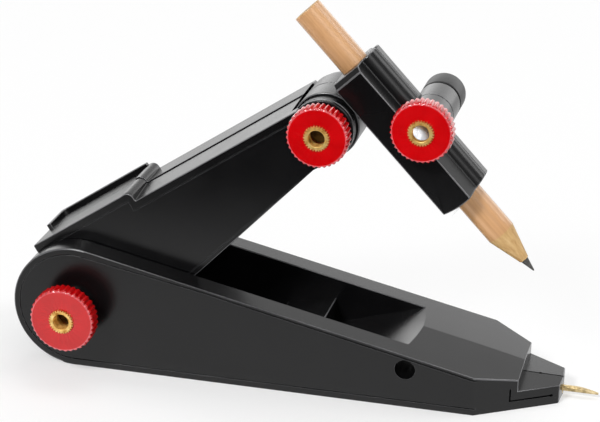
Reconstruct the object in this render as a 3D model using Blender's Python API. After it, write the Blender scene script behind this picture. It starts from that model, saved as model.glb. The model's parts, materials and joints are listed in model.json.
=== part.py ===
"""Scribing and compass tool: wedge base with nose pin, folding arm, swivelling pencil clamp, three thumb knobs.

Frame: metres, +X along the base towards the nose pin, +Z up, y = 0 is the base's middle plane.
The origin is the centre of the base's flat underside. The arm and the clamp stand open, as in use.
"""

import math

import bmesh
import bpy

# Base, from the pivot at its round rear end to the nose
FLAT_LENGTH = 0.1260
REAR_RADIUS = 0.0165
BASE_WIDTH = 0.0360
ROOF_RISE = 0.00064
NOSE_TAPER_LENGTH = 0.0200
NOSE_WIDTH = 0.0106
STEP_FROM_NOSE = 0.0098
STEP_TOP = 0.0081
NOSE_HEIGHT = 0.00495

# Channel in the base
CHANNEL_WIDTH = 0.0234
CHANNEL_FLOOR = 0.0020
CHANNEL_REAR = 0.0020
RAMP_ANGLE = 17.0
RAMP_TOP_FROM_NOSE = 0.0387
SCOOP_BULGE = 0.0014
REST_FRONT = 0.0634
REST_LENGTH = 0.0134
REST_HEIGHT = 0.0142

# Nose details
PIN_RADIUS = 0.0010
PIN_HEIGHT = 0.0019
PIN_PROJECTION = 0.0094
PIN_BURIED = 0.0080
PIN_BEVEL = 0.0060
COLLAR_WALL = 0.0004
COLLAR_LENGTH = 0.0040
COLLAR_PROUD = 0.0003
SLIT_WIDTH = 0.0005
SLIT_DEPTH = 0.0011
FINGER_LENGTH = 0.0100
FINGER_FROM_NOSE = 0.0020
FINGER_HEIGHT = 0.0020
FINGER_SLOT = 0.0005
FINGER_DEPTH = 0.0025
SIDE_HOLE_RADIUS = 0.00265
SIDE_HOLE_DEPTH = 0.0050
SIDE_HOLE_FROM_NOSE = 0.0378
SIDE_HOLE_HEIGHT = 0.0104

# Arm: s runs along its top from the pivot, h stands square to its top
ARM_OPEN_ANGLE = 34.0
ARM_LENGTH = 0.0833
SWIVEL_OFFSET = 0.0083
STRIP_HEIGHT = 0.0155
STRIP_RISE = 0.00115
LABEL_HEIGHT = 0.0183
LABEL_REAR = 0.0036
LABEL_LENGTH = 0.0302
BEAD_HEIGHT = 0.0010
BEAD_WIDTH = 0.0022
RIM_HEIGHT = 0.00135
RIM_WIDTH = 0.0012
ARM_TAPER = 12.3
VERTEX_FROM_PIVOT = 0.0335
FORK_RADIUS = 0.0079
FORK_THICKNESS = 0.0026
FORK_BACK = 0.0083

# Holder: u runs down along the pencil, q stands off from the swivel axis
HOLDER_ANGLE = 43.5
HUB_RADIUS = 0.0085
NECK_WIDTH = 0.0080
JAW_WIDTH = 0.0186
JAW_ABOVE = 0.0065
JAW_BELOW = 0.0365
JAW_DEPTH = 0.00825
RAIL_HEIGHT = 0.0038
RAIL_NEAR = 0.0026
RAIL_FAR = 0.0031
COVE_DEPTH = 0.0006
BORE_OFFSET = 0.0131
CLAMP_BELOW = 0.0154
CLAMP_OFFSET = 0.0198
BOSS_RADIUS = 0.0054
BARREL_LENGTH = 0.0080
BARREL_WALL = 0.0018

# Pencil
PENCIL_RADIUS = 0.0038
PENCIL_ABOVE = 0.0245
PENCIL_BELOW = 0.0626
CONE_LENGTH = 0.0130
LEAD_RADIUS = 0.0011
LEAD_SHOWN = 0.0039
LEAD_POINT = 0.0002

# Knobs, inserts, bolts and spacers
KNOB_RIBS = 36
RIB_DEPTH = 0.00040
RIM_THICKNESS = 0.0042
RIM_CHAMFER = 0.0007
REAR_KNOB_RADIUS = 0.0087
KNOB_RADIUS = 0.0079
NECK_RADIUS = 0.0052
REAR_NECK = 0.0018
SWIVEL_NECK = 0.00085
CLAMP_NECK = 0.0005
REAR_SPACER = 0.0024
REAR_SPACER_RADIUS = 0.0054
SWIVEL_SPACER = 0.0013
SWIVEL_SPACER_RADIUS = 0.0079
INSERT_RADIUS = 0.0034
INSERT_TEETH = 28
TOOTH_DEPTH = 0.00025
INSERT_PROUD = 0.00045
INSERT_FLOOR = 0.0010
BOLT_RADIUS = 0.0024
BOLT_RECESS = 0.0010
HEAD_ACROSS = 0.0080
HEAD_HEIGHT = 0.0034
BUSH_WALL = 0.0018
WASHER_RADIUS = 0.0065
WASHER_THICKNESS = 0.0007
CLAMP_WASHER_RADIUS = 0.0046
SCREW_RADIUS = 0.0012
SCREW_HEAD_RADIUS = 0.0025
SCREW_HEAD_HEIGHT = 0.0020
SCREW_END = 0.0020
SCREW_REAR = (0.0230, 0.0045)
SCREW_FRONT = (0.0600, 0.0075)

# Clearances
GAP = 0.0003
FIT = 0.0001
SIDE_GAP = 0.00035
FORK_GAP = 0.00035
HUB_GAP = 0.0005
SWING_GAP = 0.0007
# Joined shapes are set in by this much, so that no two of their faces coincide
TUCK = 0.00005

ROUND_COUNT = 24

# Values that follow from the sizes above
half_base = BASE_WIDTH / 2
half_channel = CHANNEL_WIDTH / 2
half_arm = half_channel - SIDE_GAP
half_fork = half_arm - FORK_THICKNESS
half_hub = half_fork - GAP
half_jaw = JAW_WIDTH / 2
half_seam = GAP / 2
pivot_x = -FLAT_LENGTH / 2
nose_x = FLAT_LENGTH / 2
step_x = nose_x - STEP_FROM_NOSE
taper_x = nose_x - NOSE_TAPER_LENGTH
step_distance = math.hypot(step_x - pivot_x, STEP_TOP - REAR_RADIUS)
wedge = math.asin(REAR_RADIUS / step_distance) + math.atan2(REAR_RADIUS - STEP_TOP, step_x - pivot_x)
arm_hub_radius = REAR_RADIUS - CHANNEL_FLOOR - HUB_GAP
jaw_inner = FORK_RADIUS + FORK_GAP
jaw_outer = jaw_inner + JAW_DEPTH
rail_top = jaw_outer + RAIL_HEIGHT
bolt_hole = BOLT_RADIUS + FIT


def top_height(x):
    """Height of the base's top edge at x, on the line that touches the round rear end."""
    return STEP_TOP + (step_x - x) * math.tan(wedge)


def half_width(x):
    """Half the base's width at x: full up to the nose taper, then straight down to the nose width."""
    if x <= taper_x:
        return half_base
    share = (x - taper_x) / NOSE_TAPER_LENGTH
    return half_base + (NOSE_WIDTH / 2 - half_base) * share


def material(name, colour, roughness, metallic=0.0):
    made = bpy.data.materials.new(name)
    made.use_nodes = True
    shader = made.node_tree.nodes["Principled BSDF"]
    shader.inputs["Base Color"].default_value = (*colour, 1.0)
    shader.inputs["Roughness"].default_value = roughness
    shader.inputs["Metallic"].default_value = metallic
    made.diffuse_color = (*colour, 1.0)
    return made


def empty(name, parent, x, z, angle):
    """A joint axis: an empty whose local Y lies along the joint, turned up by angle degrees."""
    axis = bpy.data.objects.new(name, None)
    axis.empty_display_size = 0.01
    bpy.context.scene.collection.objects.link(axis)
    axis.parent = parent
    axis.location = (x, 0.0, z)
    axis.rotation_euler = (0.0, -math.radians(angle), 0.0)
    return axis


def solid(name, points, faces, parent=None, look=None, smooth=True):
    mesh = bpy.data.meshes.new(name)
    mesh.from_pydata(points, [], faces)
    shape = bmesh.new()
    shape.from_mesh(mesh)
    bmesh.ops.recalc_face_normals(shape, faces=shape.faces)
    shape.to_mesh(mesh)
    shape.free()
    if smooth:
        mesh.shade_smooth()
        mesh.set_sharp_from_angle(angle=math.radians(30))
    made = bpy.data.objects.new(name, mesh)
    bpy.context.scene.collection.objects.link(made)
    made.parent = parent
    if look:
        mesh.materials.append(look)
    return made


def between(name, near, far, near_y, far_y, parent=None, look=None):
    """A solid between two outlines of (x, z) points, one at each y."""
    count = len(near)
    points = [(x, near_y, z) for x, z in near] + [(x, far_y, z) for x, z in far]
    faces = [tuple(range(count)), tuple(range(2 * count - 1, count - 1, -1))]
    for i in range(count):
        j = (i + 1) % count
        faces.append((i, i + count, j + count, j))
    return solid(name, points, faces, parent, look)


def prism(name, outline, near_y, far_y, parent=None, look=None):
    return between(name, outline, outline, near_y, far_y, parent, look)


def upright(name, outline, low, high, parent=None, look=None):
    """An outline of (x, y) points, extruded along z."""
    count = len(outline)
    points = [(x, y, low) for x, y in outline] + [(x, y, high) for x, y in outline]
    faces = [tuple(range(count)), tuple(range(2 * count - 1, count - 1, -1))]
    for i in range(count):
        j = (i + 1) % count
        faces.append((i, i + count, j + count, j))
    return solid(name, points, faces, parent, look)


def turned(name, stations, parent=None, look=None, count=ROUND_COUNT, at=(0.0, 0.0), tube=False):
    """Rings about the local Y axis, each a y and a radius or a radius function of the angle."""
    points = []
    rings = []
    for y, radius in stations:
        if radius == 0.0:
            rings.append([len(points)])
            points.append((at[0], y, at[1]))
            continue
        rings.append(list(range(len(points), len(points) + count)))
        for i in range(count):
            angle = 2 * math.pi * i / count
            r = radius(angle) if callable(radius) else radius
            points.append((at[0] + r * math.cos(angle), y, at[1] + r * math.sin(angle)))
    pairs = list(zip(rings, rings[1:]))
    if tube:
        pairs.append((rings[-1], rings[0]))
    faces = []
    for one, two in pairs:
        for i in range(count):
            j = (i + 1) % count
            if len(one) == 1:
                faces.append((one[0], two[i], two[j]))
            elif len(two) == 1:
                faces.append((one[i], two[0], one[j]))
            else:
                faces.append((one[i], two[i], two[j], one[j]))
    return solid(name, points, faces, parent, look)


def rod(name, radius, near_y, far_y, parent=None, look=None, at=(0.0, 0.0), count=ROUND_COUNT):
    ends = [(near_y, 0.0), (near_y, radius), (far_y, radius), (far_y, 0.0)]
    return turned(name, ends, parent, look, count, at)


def ring(name, inner, outer, near_y, far_y, parent=None, look=None):
    loop = [(near_y, inner), (near_y, outer), (far_y, outer), (far_y, inner)]
    return turned(name, loop, parent, look, tube=True)


def cutter(made):
    made.hide_render = True
    made.display_type = "WIRE"
    return made


def boolean(target, other, operation="DIFFERENCE", solver="EXACT"):
    """Joins or cuts. Cuts through faces that hold several holes use MANIFOLD, where EXACT leaves them open."""
    cut = target.modifiers.new(other.name, "BOOLEAN")
    cut.operation = operation
    cut.solver = solver
    cut.object = cutter(other)


def arc(centre_x, centre_z, radius, first, last, steps):
    """Points on a circle in the XZ plane between two angles in degrees."""
    angles = [math.radians(first + (last - first) * i / steps) for i in range(steps + 1)]
    return [(centre_x + radius * math.cos(a), centre_z + radius * math.sin(a)) for a in angles]


def hexagon(across):
    def radius(angle):
        return across / 2 / math.cos((angle + math.pi / 6) % (math.pi / 3) - math.pi / 6)

    return radius


def ribbed(outer, depth, ribs):
    def radius(angle):
        return outer - depth * (round(angle * ribs / math.pi) % 2)

    return radius


for old in list(bpy.data.objects):
    bpy.data.objects.remove(old)

black = material("black_plastic", (0.016, 0.016, 0.017), 0.55)
red = material("red_plastic", (0.55, 0.0, 0.003), 0.3)
brass = material("brass", (0.70, 0.42, 0.22), 0.3, 1.0)
steel = material("steel", (0.55, 0.55, 0.56), 0.3, 1.0)
wood = material("pencil_wood", (0.62, 0.40, 0.24), 0.6)
graphite = material("graphite", (0.07, 0.07, 0.07), 0.45)

base_axis = empty("base_axis", None, pivot_x, REAR_RADIUS, 0.0)
arm_axis = empty("arm_axis", base_axis, 0.0, 0.0, ARM_OPEN_ANGLE)
swivel_axis = empty("swivel_axis", arm_axis, ARM_LENGTH, SWIVEL_OFFSET, HOLDER_ANGLE - ARM_OPEN_ANGLE)
clamp_axis = empty("clamp_axis", swivel_axis, CLAMP_OFFSET, -CLAMP_BELOW, 0.0)


# Base: side outline with the round rear end, carried to three widths so that the top has a low ridge
def base_outline():
    """(x, edge height, ridge share) round the side, from the underside's front forwards and over the top."""
    top = 90.0 - math.degrees(wedge)
    steps = 24
    points = [(nose_x, 0.0, 0.0), (nose_x, NOSE_HEIGHT, 1.0), (step_x, NOSE_HEIGHT, 1.0)]
    points += [(step_x, STEP_TOP, 1.0), (taper_x, top_height(taper_x), 1.0)]
    for i in range(steps + 1):
        angle = top + (270.0 - top) * i / steps
        x, z = arc(pivot_x, REAR_RADIUS, REAR_RADIUS, angle, angle, 1)[0]
        points.append((x, z, max(0.0, math.sin(math.radians(angle)))))
    return points + [(taper_x, 0.0, 0.0)]


def base_solid():
    outline = base_outline()
    count = len(outline)
    points = []
    for side in (-1.0, 0.0, 1.0):
        for x, z, ridge in outline:
            rise = ROOF_RISE * ridge * half_width(x) / half_base if side == 0.0 else 0.0
            points.append((x, side * half_width(x), z + rise))
    faces = []
    for column in (0, count):
        for i in range(count):
            j = (i + 1) % count
            faces.append((column + i, column + count + i, column + count + j, column + j))
    for column in (0, 2 * count):
        faces.append(tuple(column + i for i in (0, 1, 2, 3, 4, count - 1)))
        faces.append(tuple(column + i for i in range(4, count)))
    return solid("base_body", points, faces, None, black)


def channel_cutter():
    """The channel: open at the rear, with a floor and a ramp that is deeper along its middle."""
    ramp = math.tan(math.radians(RAMP_ANGLE))
    corner_x = nose_x - RAMP_TOP_FROM_NOSE
    foot_x = corner_x - (top_height(corner_x) - CHANNEL_FLOOR) / ramp
    rear_x = pivot_x - 2 * REAR_RADIUS
    sky = 3 * REAR_RADIUS
    stations = 8
    points = []
    for i in range(stations + 1):
        y = half_channel * (2 * i / stations - 1)
        foot = foot_x + SCOOP_BULGE * (1 - (y / half_channel) ** 2)
        over = foot + (sky - CHANNEL_FLOOR) / ramp
        points += [(rear_x, y, -REAR_RADIUS), (pivot_x - CHANNEL_REAR, y, -REAR_RADIUS)]
        points += [(pivot_x - CHANNEL_REAR, y, CHANNEL_FLOOR), (foot, y, CHANNEL_FLOOR)]
        points += [(over, y, sky), (rear_x, y, sky)]
    faces = [tuple(range(6)), tuple(range(6 * stations + 5, 6 * stations - 1, -1))]
    for i in range(stations):
        for k in range(6):
            one, two = 6 * i + k, 6 * i + (k + 1) % 6
            faces.append((one, two, two + 6, one + 6))
    return solid("channel_cutter", points, faces)


base = base_solid()
boolean(base, channel_cutter())

rest_front = pivot_x + REST_FRONT
rest_fall = REST_LENGTH * math.tan(math.radians(ARM_TAPER))
rest_outline = [
    (rest_front - REST_LENGTH, CHANNEL_FLOOR / 2),
    (rest_front, CHANNEL_FLOOR / 2),
    (rest_front, REST_HEIGHT),
    (rest_front - REST_LENGTH, REST_HEIGHT - rest_fall),
]
wall_bite = half_channel + 0.25 * (half_base - half_channel)
boolean(base, prism("rest_block", rest_outline, -wall_bite, wall_bite), "UNION")

boolean(base, rod("pivot_hole", bolt_hole, -BASE_WIDTH, BASE_WIDTH, at=(pivot_x, REAR_RADIUS)))
head_seat = half_base - HEAD_HEIGHT - GAP
hex_hole = hexagon(HEAD_ACROSS + 2 * GAP)
hex_ends = [(head_seat, 0.0), (head_seat, hex_hole), (BASE_WIDTH, hex_hole), (BASE_WIDTH, 0.0)]
boolean(base, turned("hex_recess", hex_ends, count=24, at=(pivot_x, REAR_RADIUS)))

for side, near_y in (("near", -BASE_WIDTH), ("far", half_base - SIDE_HOLE_DEPTH)):
    centre = (nose_x - SIDE_HOLE_FROM_NOSE, SIDE_HOLE_HEIGHT)
    reach = BASE_WIDTH - half_base + SIDE_HOLE_DEPTH
    hole = rod("side_hole_" + side, SIDE_HOLE_RADIUS, near_y, near_y + reach, at=centre)
    boolean(base, hole, solver="MANIFOLD")

slit_floor = NOSE_HEIGHT - SLIT_DEPTH
slit = [(step_x, slit_floor), (nose_x + GAP, slit_floor), (nose_x + GAP, STEP_TOP), (step_x, STEP_TOP)]
slit_cutter = prism("nose_slit", slit, -SLIT_WIDTH / 2, SLIT_WIDTH / 2)
boolean(base, slit_cutter, solver="MANIFOLD")

# The spring finger: an L of two thin slots cut into the near side of the nose
finger_front = nose_x - FINGER_FROM_NOSE
finger_rear = finger_front - FINGER_LENGTH
finger_low = FINGER_HEIGHT - FINGER_SLOT / 2
finger_top = NOSE_HEIGHT + FINGER_SLOT
finger_outline = [
    (finger_rear, finger_low),
    (finger_front, finger_low),
    (finger_front, finger_low + FINGER_SLOT),
    (finger_rear + FINGER_SLOT, finger_low + FINGER_SLOT),
    (finger_rear + FINGER_SLOT, finger_top),
    (finger_rear, finger_top),
]


def finger_cutter():
    """The slot's outline, from outside the near taper to its depth inside it."""
    near = [(x, -BASE_WIDTH, z) for x, z in finger_outline]
    far = [(x, -half_width(x) + FINGER_DEPTH, z) for x, z in finger_outline]
    count = len(finger_outline)
    faces = [tuple(range(count)), tuple(range(2 * count - 1, count - 1, -1))]
    for i in range(count):
        j = (i + 1) % count
        faces.append((i, i + count, j + count, j))
    return solid("finger_cutter", near + far, faces)


boolean(base, finger_cutter(), solver="MANIFOLD")

# Nose pin in its collar, both turned about X
collar_inner = PIN_RADIUS + FIT
collar_outer = collar_inner + COLLAR_WALL
pin_rear = nose_x - PIN_BURIED


def along_x(made, x, z):
    """Turns a piece that was made about local Y so that it runs along +X from x."""
    made.location = (x, 0.0, z)
    made.rotation_euler = (0.0, 0.0, -math.pi / 2)
    return made


pin_hole = rod("pin_hole", collar_inner, 0.0, PIN_BURIED + 2 * GAP)
boolean(base, along_x(pin_hole, pin_rear - GAP, PIN_HEIGHT), solver="MANIFOLD")
collar_hole = rod("collar_hole", collar_outer + FIT, 0.0, COLLAR_LENGTH + PIN_PROJECTION)
boolean(base, along_x(collar_hole, nose_x - COLLAR_LENGTH - GAP, PIN_HEIGHT), solver="MANIFOLD")
collar = ring("pin_collar", collar_inner, collar_outer, 0.0, COLLAR_LENGTH + COLLAR_PROUD, None, brass)
along_x(collar, nose_x - COLLAR_LENGTH, PIN_HEIGHT)
pin_end = PIN_BURIED + PIN_PROJECTION
pin = rod("scribing_pin", PIN_RADIUS, 0.0, pin_end, None, brass)
along_x(pin, pin_rear, PIN_HEIGHT)
tip_x = pin_rear + pin_end
bevel = [
    (tip_x - PIN_BEVEL, PIN_HEIGHT + PIN_RADIUS),
    (tip_x + PIN_RADIUS, PIN_HEIGHT - PIN_RADIUS),
    (tip_x + PIN_RADIUS, PIN_HEIGHT + 3 * PIN_RADIUS),
    (tip_x - PIN_BEVEL, PIN_HEIGHT + 3 * PIN_RADIUS),
]
boolean(pin, prism("pin_bevel", bevel, -2 * PIN_RADIUS, 2 * PIN_RADIUS))

# Arm: two moulded shells, made in the arm's own frame
underside_x = ARM_LENGTH - FORK_BACK
underside_z = SWIVEL_OFFSET - FORK_RADIUS
arm_tan = math.tan(math.radians(ARM_TAPER))
vertex = (VERTEX_FROM_PIVOT, underside_z - (underside_x - VERTEX_FROM_PIVOT) * arm_tan)
label_front = LABEL_LENGTH - LABEL_REAR - BEAD_HEIGHT


def arm_outline(strip):
    """Side outline of the arm whose front strip lies at height strip."""
    to_vertex = math.atan2(vertex[1], vertex[0])
    tangent = math.degrees(to_vertex - math.acos(arm_hub_radius / math.hypot(*vertex)))
    rear = math.degrees(math.acos(-LABEL_REAR / arm_hub_radius))
    cut_rise = min(strip - GAP / 10, STRIP_HEIGHT - GAP / 3) - SWIVEL_OFFSET
    cut = math.degrees(math.asin(min(0.98, cut_rise / FORK_RADIUS)))
    cut_x = ARM_LENGTH - FORK_RADIUS * math.cos(math.radians(cut))
    bead_x = label_front + BEAD_HEIGHT
    points = [(-LABEL_REAR, LABEL_HEIGHT)]
    points += arc(0.0, 0.0, arm_hub_radius, rear, 360.0 + tangent, 12)
    points += [vertex, (underside_x, underside_z)]
    points += arc(ARM_LENGTH, SWIVEL_OFFSET, FORK_RADIUS, -90.0, 180.0 - cut, 14)
    points += [(cut_x, strip), (bead_x + BEAD_WIDTH, strip)]
    points += [(bead_x + BEAD_WIDTH, LABEL_HEIGHT - 0.4 * BEAD_HEIGHT)]
    points += [(bead_x + 0.5 * BEAD_WIDTH, LABEL_HEIGHT + BEAD_HEIGHT)]
    points += [(bead_x, LABEL_HEIGHT + BEAD_HEIGHT), (label_front, LABEL_HEIGHT)]
    return points


strip_top = STRIP_HEIGHT + STRIP_RISE
arm_near = between(
    "arm_near_shell", arm_outline(STRIP_HEIGHT), arm_outline(strip_top), -half_arm, -half_seam, arm_axis, black
)
arm_far = prism("arm_far_shell", arm_outline(strip_top), half_seam, half_arm, arm_axis, black)

rim_low = LABEL_HEIGHT - RIM_HEIGHT
rim_high = LABEL_HEIGHT + RIM_HEIGHT
rim_front = label_front + BEAD_HEIGHT / 2
rim_rear = TUCK - LABEL_REAR
rim_edge = half_arm - TUCK
rim_outline = [
    (rim_rear, half_seam + TUCK),
    (rim_rear + RIM_WIDTH, half_seam + TUCK),
    (rim_rear + RIM_WIDTH, rim_edge - RIM_WIDTH),
    (rim_front, rim_edge - RIM_WIDTH),
    (rim_front, rim_edge),
    (rim_rear, rim_edge),
]
boolean(arm_far, upright("label_rim", rim_outline, rim_low, rim_high, arm_axis), "UNION")

bush_outer = bolt_hole + BUSH_WALL
swivel_at = (ARM_LENGTH, SWIVEL_OFFSET)
room_radius = HUB_RADIUS + SWING_GAP
hub_room = arc(*swivel_at, room_radius, 90.0, 270.0, 24)
hub_room += [(ARM_LENGTH + 2 * FORK_RADIUS, SWIVEL_OFFSET - room_radius)]
hub_room += [(ARM_LENGTH + 2 * FORK_RADIUS, SWIVEL_OFFSET + room_radius)]
arm_cuts = [
    prism("hub_room", hub_room, -half_fork, half_fork, arm_axis),
    rod("bush_hole", bush_outer + FIT, -BASE_WIDTH, BASE_WIDTH, arm_axis),
    rod("swivel_hole", bolt_hole, -BASE_WIDTH, BASE_WIDTH, arm_axis, at=swivel_at),
]
screw_seat = half_arm - SCREW_HEAD_HEIGHT - GAP
screw_tip = SCREW_END - half_arm
for label, at in (("rear", SCREW_REAR), ("front", SCREW_FRONT)):
    inner, outer = SCREW_RADIUS + FIT, SCREW_HEAD_RADIUS + GAP
    room = [(screw_tip - GAP, 0.0), (screw_tip - GAP, inner), (screw_seat, inner)]
    room += [(screw_seat, outer), (BASE_WIDTH, outer), (BASE_WIDTH, 0.0)]
    arm_cuts.append(turned("screw_hole_" + label, room, arm_axis, at=at))
    head = screw_seat + GAP
    shank = [(screw_tip, 0.0), (screw_tip, SCREW_RADIUS), (head, SCREW_RADIUS)]
    shank += [(head, SCREW_HEAD_RADIUS), (head + SCREW_HEAD_HEIGHT, SCREW_HEAD_RADIUS)]
    shank += [(head + SCREW_HEAD_HEIGHT, 0.0)]
    turned("arm_screw_" + label, shank, arm_axis, steel, at=at)
for shell in (arm_near, arm_far):
    for cut in arm_cuts:
        boolean(shell, cut)
ring("arm_pivot_bush", bolt_hole, bush_outer, -half_arm, half_arm, arm_axis, steel)


# Holder: two jaws along the pencil, made in the holder's own frame (x = q, z = -u)
def jaw(name, side, rail):
    """One jaw: block and rail extruded along the pencil, joined to half a hub and half a clamp boss."""
    inner, outer = side * half_seam, side * half_jaw
    section = [(inner, jaw_inner), (outer, jaw_inner), (outer, jaw_outer), (side * rail, jaw_outer)]
    steps = 4
    for i in range(1, steps):
        share = i / steps
        dip = COVE_DEPTH * math.sin(math.pi * share)
        section.append((side * (rail - dip), jaw_outer + RAIL_HEIGHT * share))
    section += [(side * rail, rail_top), (inner, rail_top)]
    count = len(section)
    points = [(q, y, JAW_ABOVE) for y, q in section] + [(q, y, -JAW_BELOW) for y, q in section]
    faces = [tuple(range(count)), tuple(range(2 * count - 1, count - 1, -1))]
    for i in range(count):
        j = (i + 1) % count
        faces.append((i, i + count, j + count, j))
    made = solid(name, points, faces, swivel_axis, black)
    half_neck = NECK_WIDTH / 2
    neck = [(0.0, -half_neck), (jaw_inner + GAP, -half_neck), (jaw_inner + GAP, half_neck), (0.0, half_neck)]
    hub_end = side * half_hub
    hub_inner = inner + side * TUCK
    boolean(made, rod(name + "_hub", HUB_RADIUS, hub_inner, hub_end, swivel_axis, count=48), "UNION")
    boolean(made, prism(name + "_neck", neck, hub_inner + side * TUCK, hub_end - side * GAP, swivel_axis), "UNION")
    boss_at = (CLAMP_OFFSET, -CLAMP_BELOW)
    boss = rod(name + "_boss", BOSS_RADIUS, hub_inner, outer + side * TUCK, swivel_axis, at=boss_at)
    boolean(made, boss, "UNION")
    return made


jaws = [jaw("holder_near_jaw", -1, RAIL_NEAR), jaw("holder_far_jaw", 1, RAIL_FAR)]

pencil_bore = rod("pencil_bore", PENCIL_RADIUS + FIT, -2 * JAW_BELOW, 2 * JAW_BELOW)
pencil_bore.parent = swivel_axis
pencil_bore.location = (BORE_OFFSET, 0.0, 0.0)
pencil_bore.rotation_euler = (math.pi / 2, 0.0, 0.0)
washer_seat = half_hub - WASHER_THICKNESS
holder_cuts = [
    pencil_bore,
    rod("hub_bush_hole", bush_outer + FIT, -BASE_WIDTH, BASE_WIDTH, swivel_axis),
    rod("clamp_hole", bolt_hole, -BASE_WIDTH, BASE_WIDTH, clamp_axis),
]
for one, side in zip(jaws, (-1, 1)):
    ends = sorted((side * (washer_seat - GAP), side * half_fork))
    seat = rod(one.name + "_seat", WASHER_RADIUS + FIT, *ends, swivel_axis)
    for cut in [seat] + holder_cuts:
        boolean(one, cut, solver="MANIFOLD")
bush_half = washer_seat - 2 * GAP
ring("hub_bush", bolt_hole, bush_outer, -bush_half, bush_half, swivel_axis, steel)
ring("hub_washer_near", bolt_hole, WASHER_RADIUS, -half_hub, -washer_seat, swivel_axis, steel)
ring("hub_washer_far", bolt_hole, WASHER_RADIUS, washer_seat, half_hub, swivel_axis, steel)

# Black barrel that closes the clamp bolt's far end, with a washer before it
washer_far = half_jaw + GAP + WASHER_THICKNESS / 2
ring("clamp_washer", bolt_hole, CLAMP_WASHER_RADIUS, half_jaw + GAP, washer_far, clamp_axis, black)
barrel_near = washer_far + GAP
barrel_far = barrel_near + BARREL_LENGTH
barrel = [(barrel_near, 0.0), (barrel_near, BOSS_RADIUS), (barrel_far - RIM_CHAMFER, BOSS_RADIUS)]
barrel += [(barrel_far, BOSS_RADIUS - RIM_CHAMFER), (barrel_far, 0.0)]
clamp_barrel = turned("clamp_barrel", barrel, clamp_axis, black)
boolean(clamp_barrel, rod("barrel_hole", bolt_hole, -BASE_WIDTH, barrel_far - BARREL_WALL, clamp_axis))


def knob(name, axis, seat, spacer, spacer_radius, neck, radius):
    """Spacer, knurled knob and serrated insert in front of a face at y = -seat. Returns the front's y."""
    if spacer:
        ring(name + "_spacer", bolt_hole, spacer_radius, -seat - GAP - spacer, -seat - GAP, axis, black)
        seat += GAP + spacer
    back = -seat - GAP
    shoulder = back - neck
    front = shoulder - RIM_THICKNESS
    face = radius - RIM_CHAMFER - RIB_DEPTH
    socket = INSERT_RADIUS + FIT
    floor = back - INSERT_FLOOR
    rim = ribbed(radius, RIB_DEPTH, KNOB_RIBS)
    loop = [(front, socket), (front, face), (front + RIM_CHAMFER, rim), (shoulder - RIM_CHAMFER, rim)]
    loop += [(shoulder, face), (shoulder, NECK_RADIUS), (back, NECK_RADIUS), (back, bolt_hole)]
    loop += [(floor, bolt_hole), (floor, socket)]
    turned(name + "_knob", loop, axis, red, 2 * KNOB_RIBS, tube=True)
    teeth = ribbed(INSERT_RADIUS, TOOTH_DEPTH, INSERT_TEETH)
    near, far = front - INSERT_PROUD, floor - GAP
    core = [(near, bolt_hole), (near, teeth), (far, teeth), (far, bolt_hole)]
    turned(name + "_knob_insert", core, axis, brass, 2 * INSERT_TEETH, tube=True)
    return front


def bolt(name, axis, front, head_near, head_far):
    """Bolt from inside the insert to a hexagonal head on the far side."""
    head = hexagon(HEAD_ACROSS)
    near = front + BOLT_RECESS
    profile = [(near, 0.0), (near, BOLT_RADIUS), (head_near, BOLT_RADIUS)]
    profile += [(head_near, head), (head_far, head), (head_far, 0.0)]
    turned(name, profile, axis, steel, 24)


rear_front = knob("rear", base_axis, half_base, REAR_SPACER, REAR_SPACER_RADIUS, REAR_NECK, REAR_KNOB_RADIUS)
bolt("rear_pivot_bolt", base_axis, rear_front, head_seat + GAP, head_seat + GAP + HEAD_HEIGHT)

swivel_pin = empty("swivel_pin_axis", arm_axis, ARM_LENGTH, SWIVEL_OFFSET, 0.0)
swivel_front = knob("swivel", swivel_pin, half_arm, SWIVEL_SPACER, SWIVEL_SPACER_RADIUS, SWIVEL_NECK, KNOB_RADIUS)
bolt("swivel_bolt", swivel_pin, swivel_front, half_arm + GAP, half_arm + GAP + HEAD_HEIGHT)

clamp_front = knob("clamp", clamp_axis, half_jaw, 0.0, 0.0, CLAMP_NECK, KNOB_RADIUS)
rod("clamp_bolt", BOLT_RADIUS, clamp_front + BOLT_RECESS, barrel_far - BARREL_WALL - GAP, clamp_axis, steel)

# Pencil, turned about its own length
pencil_axis = empty("pencil_axis", swivel_axis, BORE_OFFSET, 0.0, 0.0)
pencil_axis.rotation_euler = (-math.pi / 2, 0.0, 0.0)
cone_start = PENCIL_BELOW - CONE_LENGTH
lead_start = PENCIL_BELOW - LEAD_SHOWN
lead_hole = LEAD_RADIUS + FIT
wood_end = lead_hole + FIT
timber = [(-PENCIL_ABOVE, lead_hole), (-PENCIL_ABOVE, PENCIL_RADIUS), (cone_start, PENCIL_RADIUS)]
timber += [(lead_start, wood_end), (lead_start, lead_hole)]
turned("pencil_wood", timber, pencil_axis, wood, tube=True)
core = [(-PENCIL_ABOVE, 0.0), (-PENCIL_ABOVE, LEAD_RADIUS), (lead_start, LEAD_RADIUS)]
core += [(PENCIL_BELOW - LEAD_POINT, LEAD_POINT), (PENCIL_BELOW, 0.0)]
turned("pencil_lead", core, pencil_axis, graphite)
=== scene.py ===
import json
import math
import bmesh
import bpy
import numpy as np
from mathutils import Matrix, Vector

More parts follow.
